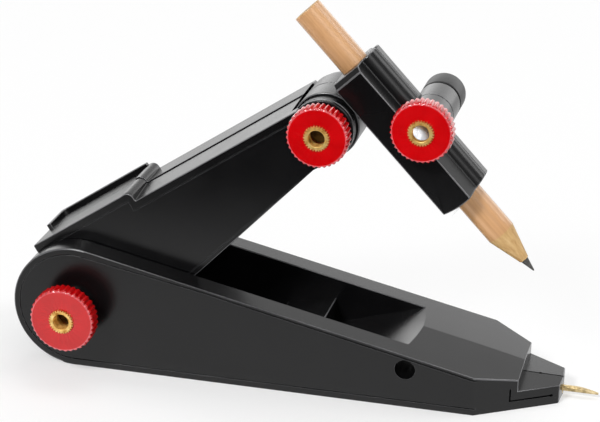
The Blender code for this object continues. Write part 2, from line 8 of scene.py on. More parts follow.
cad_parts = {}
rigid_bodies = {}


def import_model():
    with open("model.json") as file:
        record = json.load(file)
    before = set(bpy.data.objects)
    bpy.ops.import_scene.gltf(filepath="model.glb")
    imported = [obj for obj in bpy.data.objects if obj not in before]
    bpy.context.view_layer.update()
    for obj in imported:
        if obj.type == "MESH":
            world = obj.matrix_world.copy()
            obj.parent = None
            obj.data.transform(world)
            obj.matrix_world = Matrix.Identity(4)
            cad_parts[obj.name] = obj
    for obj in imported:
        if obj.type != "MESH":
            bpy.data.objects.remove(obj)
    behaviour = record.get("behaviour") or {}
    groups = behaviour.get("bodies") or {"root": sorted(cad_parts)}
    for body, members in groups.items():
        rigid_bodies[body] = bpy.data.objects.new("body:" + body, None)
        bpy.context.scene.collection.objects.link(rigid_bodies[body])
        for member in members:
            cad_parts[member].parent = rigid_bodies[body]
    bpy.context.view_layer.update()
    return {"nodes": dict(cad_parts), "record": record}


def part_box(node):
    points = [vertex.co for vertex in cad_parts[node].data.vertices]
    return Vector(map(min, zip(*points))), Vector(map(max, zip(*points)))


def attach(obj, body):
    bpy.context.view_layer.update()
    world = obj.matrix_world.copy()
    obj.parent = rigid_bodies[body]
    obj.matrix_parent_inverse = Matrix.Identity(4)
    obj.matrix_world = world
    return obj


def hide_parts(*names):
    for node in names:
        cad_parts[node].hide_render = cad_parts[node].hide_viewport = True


for old in list(bpy.data.objects):
    bpy.data.objects.remove(old)
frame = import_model()
joints = {joint["name"]: joint for joint in frame["record"]["behaviour"]["joints"]}
basePivot = np.array(joints["arm_fold"]["pos_m"])
swivelPivot = np.array(joints["holder_swivel"]["pos_m"])
clampPivot = np.array(joints["clamp_knob_turn"]["pos_m"])
slideAxis = np.array(joints["pencil_slide"]["axis"])
tuck = .00005     # how far joined shapes reach into each other
beyond = .03      # where a hole starts and ends, outside every piece
boltHole, bushHole = .0025, .0044     # radius of the holes for bolts and steel bushes
print("frame loaded,", len(frame["nodes"]), "nodes")


# A point made beside an axis goes to the origin given and turns up by the angle in degrees:
# x' = x cos - z sin, z' = x sin + z cos
def placed(points, origin, angle):
    a = math.radians(angle)
    x, y, z = np.moveaxis(np.asarray(points, float), -1, 0)
    moved = (x * math.cos(a) - z * math.sin(a), y, x * math.sin(a) + z * math.cos(a))
    return np.stack(moved, -1) + np.asarray(origin, float)


# A grid of points, rows by columns, becomes a closed skin: columns always join up, rows join up or end in flat caps
def skin(grid, ring=False):
    rows, cols = grid.shape[:2]
    i = np.arange(rows if ring else rows - 1)[:, None]
    j = np.arange(cols)[None, :]
    nextRow, nextCol = (i + 1) % rows, (j + 1) % cols
    corners = (i * cols + j, i * cols + nextCol, nextRow * cols + nextCol, nextRow * cols + j)
    faces = np.stack(np.broadcast_arrays(*corners), -1).reshape(-1, 4).tolist()
    if not ring:
        faces += [list(range(cols)), list(range((rows - 1) * cols, rows * cols))]
    return grid.reshape(-1, 3), faces


def newObject(name, data):
    made = bpy.data.objects.new(name, data)
    bpy.context.scene.collection.objects.link(made)
    return made


def solid(name, points, faces, finish=None, sharp=30):
    mesh = bpy.data.meshes.new(name)
    mesh.from_pydata(np.asarray(points).reshape(-1, 3).tolist(), [], faces)
    work = bmesh.new()
    work.from_mesh(mesh)
    bmesh.ops.remove_doubles(work, verts=work.verts, dist=1e-8)
    bmesh.ops.recalc_face_normals(work, faces=work.faces)
    work.to_mesh(mesh)
    work.free()
    mesh.shade_smooth()
    mesh.set_sharp_from_angle(angle=math.radians(sharp))
    if finish:
        mesh.materials.append(finish)
    return newObject(name, mesh)


def placedSolid(name, grid, place, finish):
    points, faces = skin(grid)
    return solid(name, place(points), faces, finish)


# Corners of a closed outline become arcs: each row of points is (a, b, radius), each arc touches both its sides
def rounded(points, steps=5):
    points = np.asarray(points, float)
    here, radius = points[:, :2], points[:, 2]
    toLast, toNext = np.roll(here, 1, 0) - here, np.roll(here, -1, 0) - here
    toLast /= np.linalg.norm(toLast, axis=1)[:, None]
    toNext /= np.linalg.norm(toNext, axis=1)[:, None]
    half = np.arccos(np.clip((toLast * toNext).sum(1), -1, 1)) / 2
    middle = toLast + toNext
    outline = []
    for k in range(len(here)):
        if radius[k] == 0 or half[k] > 1.565:     # a straight corner stays
            outline.append(here[k][None])
            continue
        centre = here[k] + middle[k] / np.linalg.norm(middle[k]) * radius[k] / math.sin(half[k])
        first = here[k] + toLast[k] * radius[k] / math.tan(half[k]) - centre
        last = here[k] + toNext[k] * radius[k] / math.tan(half[k]) - centre
        turn = math.atan2(first[0] * last[1] - first[1] * last[0], first @ last)
        angles = turn * np.linspace(0, 1, steps + 1)
        c, s = np.cos(angles), np.sin(angles)
        outline.append(centre + np.stack((first[0] * c - first[1] * s, first[0] * s + first[1] * c), -1))
    return np.concatenate(outline)


# Points on a circle, from one angle to another in degrees: centre + radius (cos, sin)
def arcPoints(centre, radius, first, last, steps):
    a = np.radians(np.linspace(first, last, steps + 1))
    return np.stack((centre[0] + radius * np.cos(a), centre[1] + radius * np.sin(a)), -1)


# Outlines of equal length in layers along an axis: each outline's level is put in as the coordinate on that axis
def stacked(layers, axis):
    return np.stack([np.insert(np.asarray(outline, float), axis, level, axis=1) for outline, level in layers])


# An (x, z) outline carried straight across from one y to another
def slab(outline, near, far):
    return stacked([(outline, near), (outline, far)], 1)


# A closed outline moved inwards by a distance, each corner along its mitre
def inwards(outline, distance):
    outline = np.asarray(outline, float)
    before, after = outline - np.roll(outline, 1, 0), np.roll(outline, -1, 0) - outline
    before /= np.linalg.norm(before, axis=1)[:, None]
    after /= np.linalg.norm(after, axis=1)[:, None]
    turn = np.sign(np.sum(outline[:, 0] * np.roll(outline[:, 1], -1) - np.roll(outline[:, 0], -1) * outline[:, 1]))
    left = np.stack((-before[:, 1] - after[:, 1], before[:, 0] + after[:, 0]), -1) * turn
    scale = distance * 2 / np.sum(left * left, axis=1)
    return outline + left * scale[:, None]


# A shape turned about y: rows of (y, radius, share) and angles give r = radius - share * wave(angle, y)
def turnedGrid(rows, count, wave=None, at=(0.0, 0.0)):
    rows = np.asarray(rows, float)
    angle = np.linspace(0, 2 * np.pi, count, endpoint=False)[None, :]
    y, radius = rows[:, 0][:, None], rows[:, 1][:, None]
    r = radius + 0 * angle
    if wave:
        r = radius - rows[:, 2][:, None] * wave(angle, y)
    return np.stack((at[0] + r * np.cos(angle), y + 0 * r, at[1] + r * np.sin(angle)), -1)


# A round bar right through along y
def throughBar(radius, count, at=(0.0, 0.0)):
    return turnedGrid([(-beyond, radius), (beyond, radius)], count, at=at)


# Modifiers become the mesh itself
def settle(piece):
    view = bpy.context.evaluated_depsgraph_get()
    view.update()
    old, new = piece.data, bpy.data.meshes.new_from_object(piece.evaluated_get(view))
    piece.modifiers.clear()
    piece.data = new
    bpy.data.meshes.remove(old)


# A closed shape, given as a grid, is cut out of a piece, joined to it or trims it
def carve(target, grid, how="DIFFERENCE", place=None, ring=False):
    points, faces = skin(grid, ring)
    other = solid("cutter", place(points) if place else points, faces)
    change = target.modifiers.new("carve", "BOOLEAN")
    change.operation, change.solver, change.object = how, "EXACT", other
    settle(target)
    bpy.data.objects.remove(other)


# Every outer edge sharper than 32 degrees gets a small round in a lighter finish, a painted highlight along the edge:
# width times share(middle of edge).
# An edge whose ends both pass crease() stays sharp in the shading.
def soften(piece, width, highlightFinish, share, crease=None):
    work = bmesh.new()
    work.from_mesh(piece.data)
    bmesh.ops.remove_doubles(work, verts=work.verts, dist=2e-6)
    bmesh.ops.dissolve_degenerate(work, edges=work.edges, dist=1e-6)
    weight = work.edges.layers.float.new("bevel_weight_edge")
    for edge in work.edges:
        if len(edge.link_faces) == 2 and edge.is_convex and edge.calc_face_angle(0) > math.radians(32):
            edge[weight] = share((edge.verts[0].co + edge.verts[1].co) / 2)
    loose = sum(len(edge.link_faces) != 2 for edge in work.edges)
    work.to_mesh(piece.data)
    work.free()
    piece.data.materials.append(highlightFinish)
    piece.data.shade_smooth()
    piece.data.set_sharp_from_angle(angle=math.radians(28))
    edgeRound = piece.modifiers.new("edgeRound", "BEVEL")
    edgeRound.limit_method, edgeRound.width, edgeRound.segments = "WEIGHT", width, 3
    edgeRound.use_clamp_overlap, edgeRound.loop_slide, edgeRound.material = False, True, 1
    settle(piece)
    if crease:
        points = [v.co for v in piece.data.vertices]
        for edge in piece.data.edges:
            edge.use_edge_sharp = edge.use_edge_sharp or all(crease(points[k]) for k in edge.vertices)
    level = piece.modifiers.new("flatFaces", "WEIGHTED_NORMAL")
    level.keep_sharp = True
    print(piece.name, len(piece.data.polygons), "faces,", loose, "open edges")


# Faces whose middles pass the test take a second finish
def addFinish(made, finish, test):
    made.data.materials.append(finish)
    middles = np.array([face.center for face in made.data.polygons])
    made.data.polygons.foreach_set("material_index", test(middles).astype(np.int32))


# The piece moves with a body and stands for a solid of the record, which it hides
def standFor(made, body, node):
    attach(made, body)
    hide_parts(node)


# sRGB hex to linear colour
def linear(code):
    s = np.array([int(code[i:i + 2], 16) for i in (1, 3, 5)]) / 255
    return (*np.where(s <= .04045, s / 12.92, ((s + .055) / 1.055) ** 2.4).tolist(), 1.0)


# Each input named gets a number or a colour, or is linked where a socket is given
def feed(tree, node, inputs):
    for key, value in inputs.items():
        if isinstance(value, bpy.types.NodeSocket):
            tree.links.new(value, node.inputs[key])
        else:
            node.inputs[key].default_value = value


# Adds one node: its settings by name, its inputs by name or number
def addNode(tree, kind, inputs=None, **settings):
    made = tree.nodes.new("ShaderNode" + kind)
    for key, value in settings.items():
        setattr(made, key, value)
    feed(tree, made, inputs or {})
    return made


def emptyMaterial(name):
    made = bpy.data.materials.new(name)
    made.use_nodes = True
    made.node_tree.nodes.clear()
    return made, made.node_tree


def newFinish(name):
    made, tree = emptyMaterial(name)
    shader = addNode(tree, "BsdfPrincipled")
    addNode(tree, "OutputMaterial", {"Surface": shader.outputs[0]})
    return made, tree, shader, addNode(tree, "TexCoord").outputs["Object"]


# Noise whose spots have about this size
def noise(tree, place, size, detail, rough=.5):
    inputs = {"Vector": place, "Scale": 1 / size, "Detail": detail, "Roughness": rough}
    return addNode(tree, "TexNoise", inputs).outputs[0]


# A value from one range moves to another
def ranged(tree, value, low, high, toLow=0.0, toHigh=1.0):
    inputs = {"Value": value, "From Min": low, "From Max": high, "To Min": toLow, "To Max": toHigh}
    return addNode(tree, "MapRange", inputs).outputs[0]


# A value becomes a colour, between the stops given
def toned(tree, value, stops):
    ramp = addNode(tree, "ValToRGB", {"Fac": value})
    line = ramp.color_ramp
    while len(line.elements) < len(stops):
        line.elements.new(0.5)
    for element, (place, code) in zip(line.elements, stops):
        element.position, element.color = place, linear(code)
    return ramp.outputs[0]


def bump(tree, height, strength):
    return addNode(tree, "Bump", {"Height": height, "Strength": strength, "Distance": .0001}).outputs[0]


# ABS, injection moulded: near black, with a fine even grain that breaks up its reflections and slow changes of
# gloss. The real grain is about 0.1 mm, and is drawn at 0.6 to 1.1 mm so that it shows.
def absFinish(name, dark, light, grainSize, relief, roughLow, roughHigh, ior):
    made, tree, shader, place = newFinish(name)
    grain, cloud = noise(tree, place, grainSize, 3.0, .6), noise(tree, place, .012, 2.0)
    feed(tree, shader, {
        "Base Color": toned(tree, cloud, [(.25, dark), (.75, light)]), "IOR": ior,
        "Roughness": ranged(tree, cloud, .2, .8, roughLow, roughHigh), "Normal": bump(tree, grain, relief)})
    return made


# Base and arm come from a spark-eroded mould, clamp and spacers from a polished one, and the barrel is matt.
# The rounded edges take a lighter grey that reflects more: a painted highlight along each edge.
mouldedAbs = absFinish("mouldedAbs", "#09090a", "#0e0e0f", .0006, .09, .20, .27, 1.43)
polishedAbs = absFinish("polishedAbs", "#09090a", "#0e0e0f", .0011, .04, .25, .29, 1.43)
mattAbs = absFinish("mattAbs", "#0b0b0c", "#121213", .0008, .2, .40, .48, 1.43)
edgeHighlightAbs = absFinish("edgeHighlightAbs", "#4c4c4e", "#626264", .0011, .05, .20, .26, 1.6)


# Polypropylene, gloss moulded in red: saturated, with the faint flow marks of moulding 4 mm apart and a relief of
# about 1 mm. The rim of a knob's face is painted paler, a painted highlight ring.
def redFinish(name, dark, light, rough, ior):
    made, tree, shader, place = newFinish(name)
    flow, fine = noise(tree, place, .004, 2.0), noise(tree, place, .0009, 2.0)
    feed(tree, shader, {
        "Base Color": toned(tree, flow, [(.3, dark), (.7, light)]), "Normal": bump(tree, fine, .06),
        "Roughness": rough, "IOR": ior})
    return made


glossRed = redFinish("glossRed", "#b60004", "#c30208", .10, 1.6)
highlightRimRed = redFinish("highlightRimRed", "#cc3840", "#dc5a60", .16, 1.9)


# Brass, turned: pale gold, with fine unevenness from the tool and darker spots of tarnish about 1 mm across
def brassFinish(name, dark, middle, light):
    made, tree, shader, place = newFinish(name)
    spots = noise(tree, place, .0012, 4.0)
    feed(tree, shader, {
        "Base Color": toned(tree, spots, [(.3, dark), (.48, middle), (.7, light)]), "Metallic": .75,
        "Roughness": ranged(tree, spots, .3, .7, .50, .36), "Normal": bump(tree, spots, .25)})
    return made


turnedBrass = brassFinish("turnedBrass", "#b87f30", "#f2c470", "#ffdf96")
paleBrass = brassFinish("paleBrass", "#8f7c55", "#c4ad7e", "#dcc89a")


# Steel, zinc plated: light grey, with a soft bluish bloom of the plating about 1.5 mm across.
# The flat bolt ends deep in the knobs' bores are painted a patchy dark brown: painted shade of the bore, with the
# brass's warm reflection painted in.
def steelFinish(name, dark, light, metallic):
    made, tree, shader, place = newFinish(name)
    bloom = noise(tree, place, .0016, 3.0)
    feed(tree, shader, {
        "Base Color": toned(tree, bloom, [(.3, dark), (.7, light)]), "Metallic": metallic,
        "Roughness": ranged(tree, bloom, .3, .7, .38, .22)})
    return made


platedSteel = steelFinish("platedSteel", "#a9abb0", "#cfd0d2", .85)
boreShadeSteel = steelFinish("boreShadeSteel", "#2a2112", "#6b5630", .6)


# Graphite lead, sharpened: dark grey with the sheen of rubbed carbon and fine scratches from the sharpener
def graphiteFinish(name, dark, light):
    made, tree, shader, place = newFinish(name)
    scratch = noise(tree, place, .0008, 3.0)
    feed(tree, shader, {
        "Base Color": toned(tree, scratch, [(.3, dark), (.7, light)]), "Normal": bump(tree, scratch, .3),
        "Roughness": .38})
    return made


leadGraphite = graphiteFinish("leadGraphite", "#3a3937", "#575552")


# Basswood, turned round: pale tan, with straight grain lines 0.3 to 1 mm apart along the pencil and short dark pores.
# A clear varnish gives the barrel its sheen, and the sharpened cone and the cut end are bare and duller.
def woodFinish(name, dark, middle, light, rough, coat):
    made, tree, shader, place = newFinish(name)
    lean = math.atan2(-slideAxis[2], slideAxis[0])
    along = addNode(tree, "Mapping", {"Vector": place, "Rotation": (0, lean, 0)}, vector_type="TEXTURE").outputs[0]
    fibre = addNode(tree, "Mapping", {"Vector": along, "Scale": (1 / .050, 1 / .0011, 1 / .0011)})
    pore = addNode(tree, "Mapping", {"Vector": along, "Scale": (1 / .0035, 1 / .0005, 1 / .0005)})
    lines, pores = noise(tree, fibre.outputs[0], 1, 5.0, .62), noise(tree, pore.outputs[0], 1, 2.0)
    tone, spots = toned(tree, lines, [(.32, dark), (.5, middle), (.68, light)]), ranged(tree, pores, .66, .78, 0, .25)
    mixed = addNode(tree, "Mix", {"Factor": spots, 6: tone, 7: linear(dark)}, data_type="RGBA").outputs[2]
    feed(tree, shader, {
        "Base Color": mixed, "Normal": bump(tree, lines, .15), "Roughness": rough,
        "Coat Weight": coat, "Coat Roughness": .25})
    return made


varnishedWood = woodFinish("varnishedWood", "#ba8959", "#c89767", "#d8aa7b", .38, .5)
bareWood = woodFinish("bareWood", "#b28752", "#c6a069", "#d5b37f", .6, 0.0)
print("materials made")

base = {
    "length": .1260, "rearRadius": .0165, "halfWidth": .0180, "noseHalf": .0053, "taper": .0200,
    "stepBack": .0098, "stepTop": .0081, "noseHeight": .00495, "ridge": .00064, "edge": .00042, "point": .0004,
    "channelHalf": .0117, "floor": .0020, "rampAngle": 17.0, "rampBack": .0387, "bulge": .0014,
    "restFront": .0634, "restLength": .0134, "restHeight": .0142, "restSlope": 12.3, "restHalf": .0133,
    "hexAcross": .0086, "hexFrom": .0143,
    "holeRadius": .00265, "holeDepth": .0050, "holeBack": .0378, "holeHeight": .0104,
    "slitHalf": .00022, "slitLow": .00385, "pinhole": .00046, "pinholeBack": .0057, "pinholeLow": .0034,
    "slotBack": .0118, "slotFront": .0020, "slotLow": .0023, "slotTop": .0059, "slotHigh": .00042,
    "slotLong": .0004, "slotDepth": .0024,
    "pinHole": .0011, "pinDepth": .0083, "collarHole": .0016, "collarDepth": .0043,
    "rearBorder": .0015, "topBorder": .00034, "bottomBorder": .0016, "frontBorder": .0015,
    "groove": .00028, "topGroove": .00062, "grooveDepth": .00035,
}
pivotX, pivotZ = basePivot[0], basePivot[2]
noseX = pivotX + base["length"]
stepX, taperX = noseX - base["stepBack"], noseX - base["taper"]
reach = math.hypot(stepX - pivotX, base["stepTop"] - pivotZ)
wedge = math.asin(base["rearRadius"] / reach) + math.atan2(pivotZ - base["stepTop"], stepX - pivotX)


# The straight top line from the rear round down to the step: z = stepTop + (stepX - x) tan(wedge)
def topHeight(x):
    return base["stepTop"] + (stepX - x) * math.tan(wedge)


# Full width up to the taper, then straight to the nose: halfWidth + (noseHalf - halfWidth) (x - taperX) / taper
def halfWidth(x):
    share = np.clip((np.asarray(x) - taperX) / base["taper"], 0, None)
    return base["halfWidth"] + (base["noseHalf"] - base["halfWidth"]) * share


# The side outline three times across: the middle one is raised along the top by ridge * halfWidth(x) / halfWidth,
# which fades out round the rear, and its nose ends in a slight point
def baseGrid():
    top = 90 - math.degrees(wedge)
    front = [(noseX, 0, .0005), (noseX, base["noseHeight"], 0), (stepX, base["noseHeight"], 0)]
    front += [(stepX, base["stepTop"], 0), (taperX, topHeight(taperX), 0)]
    front = rounded(front + [(pivotX, pivotZ, 0), (pivotX, 0, 0)])[:-2]     # the last two are only neighbours
    rear = arcPoints((pivotX, pivotZ), base["rearRadius"], top, 270, 100)
    outline = np.concatenate((front, rear, [(taperX, 0)]))
    lift = np.ones(len(outline))
    lift[:len(front) - 4] = 0
    lift[len(front):-1] = np.clip(np.sin(np.radians(np.linspace(top, 270, 101))), 0, 1)
    lift[-1] = 0
    side = np.array((-1.0, 0.0, 1.0))[:, None]
    x, z, wide = outline[:, 0], outline[:, 1], halfWidth(outline[:, 0])
    rise = base["ridge"] * lift * wide / base["halfWidth"] * (side == 0)
    point = base["point"] * (side == 0) * (x > noseX - .0006)
    grid = np.stack(np.broadcast_arrays(x + point, side * wide[None, :], z[None, :] + rise), -1)
    return grid, len(front)


grid, frontCount = baseGrid()
points, faces = skin(grid)
cols = grid.shape[1]
faces = faces[:-2]
for start in (0, 2 * cols):     # each side is two flat faces that meet at the taper
    faces.append([start + k for k in list(range(frontCount)) + [cols - 1]])
    faces.append([start + k for k in range(frontCount - 1, cols)])
baseBody = solid("baseBody", points, faces, mouldedAbs)


# The channel: each slice across y has a level floor and a ramp whose foot moves forward as bulge * (1 - (y/half)^2)
def channelGrid():
    slope = math.tan(math.radians(base["rampAngle"]))
    cornerX = noseX - base["rampBack"]
    footX = cornerX - (topHeight(cornerX) - base["floor"]) / slope
    sky, low, rearX, floorX = .05, -.02, pivotX - .04, pivotX - .002
    y = np.linspace(-1, 1, 41) * base["channelHalf"]
    foot = footX + base["bulge"] * (1 - (y / base["channelHalf"]) ** 2)
    over = foot + (sky - base["floor"]) / slope
    rows = [(rearX, low), (floorX, low), (floorX, base["floor"]), (foot, base["floor"]), (over, sky), (rearX, sky)]
    return np.stack([np.stack(np.broadcast_arrays(x, y, z), -1) for x, z in rows], 1)


# Radius of a hexagon seen along its axis: half its width across flats over the cosine from the nearest flat
def hexRadius(across, angle):
    return across / 2 / np.cos((angle + np.pi / 6) % (np.pi / 3) - np.pi / 6)


# The channel, the arm's rest in it, the bolt hole, the nut's room on the far side and the two blind side holes
carve(baseBody, channelGrid())
restX, restTop = pivotX + base["restFront"], base["restHeight"]
rearX, rearTop = restX - base["restLength"], restTop - base["restLength"] * math.tan(math.radians(base["restSlope"]))
rest = [(rearX, .001), (restX, .001), (restX, restTop), (rearX, rearTop)]
carve(baseBody, slab(rest, -base["restHalf"], base["restHalf"]), "UNION")
carve(baseBody, throughBar(boltHole, 64, (pivotX, pivotZ)))
hexHalf = base["hexAcross"] / 2
hexRows = [(base["hexFrom"], hexHalf, 1), (beyond, hexHalf, 1)]
carve(baseBody, turnedGrid(hexRows, 72, lambda a, y: hexHalf - hexRadius(base["hexAcross"], a), (pivotX, pivotZ)))
holeAt = (noseX - base["holeBack"], base["holeHeight"])
deep = base["halfWidth"] - base["holeDepth"]
for near, far in ((-beyond, -deep), (deep, beyond)):
    carve(baseBody, turnedGrid([(near, base["holeRadius"]), (far, base["holeRadius"])], 64, at=holeAt))

# The nose: a slit down the middle with a small round hole, and an L-shaped slot that frees the spring finger
slitLow, slitFront = base["slitLow"], noseX + .001
slit = [(stepX, slitLow), (slitFront, slitLow), (slitFront, base["stepTop"]), (stepX, base["stepTop"])]
carve(baseBody, slab(slit, -base["slitHalf"], base["slitHalf"]))
pinhole = arcPoints((noseX - base["pinholeBack"], 0), base["pinhole"], 0, 345, 23)
carve(baseBody, stacked([(pinhole, base["pinholeLow"]), (pinhole, .007)], 2))
slotRear, slotFront, slotLow = noseX - base["slotBack"], noseX - base["slotFront"], base["slotLow"]
slotOver, slotAhead = slotLow + base["slotHigh"], slotRear + base["slotLong"]
slot = [(slotRear, slotLow), (slotFront, slotLow), (slotFront, slotOver), (slotAhead, slotOver)]
slotGrid = slab(slot + [(slotAhead, base["slotTop"]), (slotRear, base["slotTop"])], -beyond, 0)
slotGrid[1, :, 1] = base["slotDepth"] - halfWidth(slotGrid[1, :, 0])
carve(baseBody, slotGrid)
carve(baseBody, turnedGrid([(-beyond, .0004), (-.0045, .0004)], 32, at=(slotFront + .0001, slotLow + .0002)))


# A moulded panel on each side, set off by a groove: its border is a distance in from the edge that narrows along
# the top line, and the groove runs round it at that border plus its width
def grooveLoops():
    top = math.pi / 2 - wedge
    frontX = taperX + base["frontBorder"]
    xTop = np.linspace(frontX, pivotX + base["rearRadius"] * math.cos(top), 30)
    border = np.interp(xTop, [pivotX + .004, pivotX + .034], [base["rearBorder"], base["topBorder"]])
    width = np.interp(xTop, [pivotX + .004, pivotX + .044], [base["groove"], base["topGroove"]])
    angle = np.linspace(top, 1.5 * math.pi, 90)[1:]
    rearBorder = np.interp(angle, [top, 4.0], [border[-1], base["bottomBorder"]])
    loops = []
    for share in (0, 1):
        onTop = np.column_stack((xTop, topHeight(xTop) - (border + share * width) / math.cos(wedge)))
        radius = base["rearRadius"] - rearBorder - share * base["groove"]
        onRear = np.column_stack((pivotX + radius * np.cos(angle), pivotZ + radius * np.sin(angle)))
        low = base["bottomBorder"] + share * base["groove"]
        loops.append(np.concatenate((onTop, onRear, [(frontX + .0001 * share, low)])))
    return loops


# A groove between two loops, from outside a piece to a depth: a closed ring of four rows
def cutGroove(piece, loops, deep, out, place=None):
    outer, inner = loops
    carve(piece, stacked([(outer, out), (outer, deep), (inner, deep), (inner, out)], 1), place=place, ring=True)


loops = grooveLoops()
for side in (-1, 1):
    cutGroove(baseBody, loops, side * (base["halfWidth"] - base["grooveDepth"]), side * beyond)
low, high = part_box("scribing_pin")
pinZ = (low.z + high.z) / 2


# A shape turned about z = pinZ, y = 0 along x: rows of (x, radius)
def alongX(rows, count):
    grid = turnedGrid(rows, count)
    return np.stack((grid[..., 1], grid[..., 0], grid[..., 2] + pinZ), -1)


for radius, depth in ((base["pinHole"], base["pinDepth"]), (base["collarHole"], base["collarDepth"])):
    carve(baseBody, alongX([(noseX - depth, radius), (noseX + .003, radius)], 40))


# Share of the edge's round: none underneath and where two side faces meet, least at the slit and the slot, little
# in the grooves, and less on the nose than on the long edges
def baseShare(at):
    if at.z < .0004 or (abs(at.x - taperX) < .0002 and at.z < topHeight(taperX) - .0004):
        return 0
    onSlot = at.y < -.002 and (at.z < .003 or at.x < noseX - .011 and at.z < .0061)
    if noseX - .0128 < at.x < noseX - .0012 and (onSlot or abs(at.y) < .0006):
        return .03
    if at.x > noseX - .0128 and abs(at.y) < .0108:
        return .25 if at.x < noseX - .0005 or abs(at.y) < .002 else .6
    inGroove = abs(at.y) < base["halfWidth"] - .00002 and abs(at.y) > base["halfWidth"] - .0008
    onFace = abs(abs(at.y) - base["halfWidth"]) < .00002
    if not (inGroove or onFace):
        return .7
    toRim = min(topHeight(at.x) - at.z, at.z)
    if at.x < pivotX + .003:
        toRim = base["rearRadius"] - math.hypot(at.x - pivotX, at.z - pivotZ)
    return .8 if onFace and toRim < .0002 else .08


soften(baseBody, base["edge"], edgeHighlightAbs, baseShare, lambda at: abs(at.y) < 1e-6 and at.z > .006)
standFor(baseBody, "base", "base_body")
print("base made")

# The arm is made lying flat: s runs along its top from the pivot, h stands square to it
arm = {
    "angle": 34.0, "length": .0833, "offset": .0083, "half": .01135, "seam": .00015, "strip": .0155, "rise": .00115,
    "labelHigh": .0183, "labelRear": .0036, "labelLong": .0302, "beadHigh": .0006, "beadWide": .0022,
    "rimHigh": .00135, "rimWide": .0012, "rimInner": .0014, "taper": 12.3, "vertex": .0335,
    "hub": .0140, "fork": .0079, "forkThick": .0026, "forkBack": .0083, "edge": .00042, "hubRoom": .0092,
    "panelInset": .0016, "panelDrop": .0003, "groove": .00026, "grooveDepth": .0003,
    "screws": ((.0230, .0045), (.0600, .0075)), "screwHole": .0013, "screwHead": .0028,
    "screwSeat": .0023, "screwTip": .0017,
}
forkAt = arm["length"], arm["offset"]
underX, underZ = arm["length"] - arm["forkBack"], arm["offset"] - arm["fork"]
labelFront = arm["labelLong"] - arm["labelRear"] - arm["beadHigh"]
beadFront = labelFront + arm["beadHigh"] + arm["beadWide"]


# Height of the arm's lower line above s: h = underZ - (underX - s) tan(taper)
def lowLine(s):
    return underZ - (underX - s) * math.tan(math.radians(arm["taper"]))


vertex = arm["vertex"], lowLine(arm["vertex"])
tangent = math.degrees(math.atan2(vertex[1], vertex[0]) - math.acos(arm["hub"] / math.hypot(*vertex)))


# Side outline: label field, hub arc, tangent to the lower vertex, underside, fork arc up to the cut, strip, bead
def armOutline(strip, bead):
    rear = math.degrees(math.acos(-arm["labelRear"] / arm["hub"]))
    cut = math.degrees(math.asin((arm["strip"] - .0001 - arm["offset"]) / arm["fork"]))
    hubArc = arcPoints((0, 0), arm["hub"], rear, 360 + tangent, 60)
    forkArc = arcPoints(forkAt, arm["fork"], -90, 180 - cut, 50)
    cutX, high = arm["length"] - arm["fork"] * math.cos(math.radians(cut)), arm["labelHigh"]
    points = [(-arm["labelRear"], high, .0003)] + [(*p, 0) for p in hubArc] + [(*vertex, .0006)]
    points += [(underX, underZ, 0)] + [(*p, 0) for p in forkArc] + [(cutX, strip, 0), (beadFront, strip, .00025)]
    points += [(beadFront, high + bead, .0018), (labelFront + .0005, high + bead, .0004), (labelFront, high, .0001)]
    return rounded(points, 8)


def inArm(points):
    return placed(points, basePivot, arm["angle"])


layers = []
for y, bead in ((-arm["half"], .00005), (.0012 - arm["half"], .0003), (-arm["seam"], .0003)):
    strip = arm["strip"] + (arm["rise"] - .0003) * (1 + y / arm["half"])
    layers.append((armOutline(strip, bead), y))
armNear = placedSolid("armNearShell", stacked(layers, 1), inArm, mouldedAbs)
farOutline = armOutline(arm["strip"] + arm["rise"], arm["beadHigh"])
armFar = placedSolid("armFarShell", slab(farOutline, arm["seam"], arm["half"]), inArm, mouldedAbs)

# Raised rim of the label field on the far shell: an L of flat strips, joined on from just inside the shell
rear, edge, inner = tuck - arm["labelRear"], arm["half"] - tuck, arm["seam"] + tuck
wide, rimFront = arm["rimWide"], labelFront + .0005
rim = [(rear, inner, 0), (rear + wide, inner, 0), (rear + wide, edge - wide, arm["rimInner"])]
rim = rounded(rim + [(rimFront, edge - wide, 0), (rimFront, edge, 0), (rear, edge, .0005)])
rimLayers = [(rim, arm["labelHigh"] - arm["rimHigh"]), (rim, arm["labelHigh"] + arm["rimHigh"])]
carve(armFar, stacked(rimLayers, 2), "UNION", inArm)

# Room for the clamp's hub, the pivot bush, the swivel bolt and the two screws
room, fork = arm["hubRoom"], arm["half"] - arm["forkThick"]
hubRoom = arcPoints(forkAt, room, 90, 270, 60)
hubRoom = np.concatenate((hubRoom, [(.1, arm["offset"] - room), (.1, arm["offset"] + room)]))
tip, seat = arm["screwTip"] - arm["half"], arm["half"] - arm["screwSeat"]
screwRows = [(tip, arm["screwHole"]), (seat, arm["screwHole"]), (seat, arm["screwHead"]), (beyond, arm["screwHead"])]
for shell in (armNear, armFar):
    carve(shell, slab(hubRoom, -fork, fork), place=inArm)
    carve(shell, throughBar(bushHole, 48), place=inArm)
    carve(shell, throughBar(boltHole, 48, forkAt), place=inArm)
    for at in arm["screws"]:
        carve(shell, turnedGrid(screwRows, 40, at=at), place=inArm)

# Groove of the moulded panel on both outer faces: the outline moved in by panelInset and then dropped a little
corners = [(beadFront, arm["strip"]), (beadFront, arm["labelHigh"]), (-arm["labelRear"], arm["labelHigh"])]
hubArc = arcPoints((0, 0), arm["hub"], 106, 360 + tangent, 50)
forkArc = arcPoints(forkAt, arm["fork"], -90, 65, 30)
panel = np.concatenate((corners, hubArc, [vertex], forkArc))
loops = [inwards(panel, arm["panelInset"] + extra) - (0, arm["panelDrop"]) for extra in (0, arm["groove"])]
for shell, side in ((armNear, -1), (armFar, 1)):
    cutGroove(shell, loops, side * (arm["half"] - arm["grooveDepth"]), side * beyond, inArm)


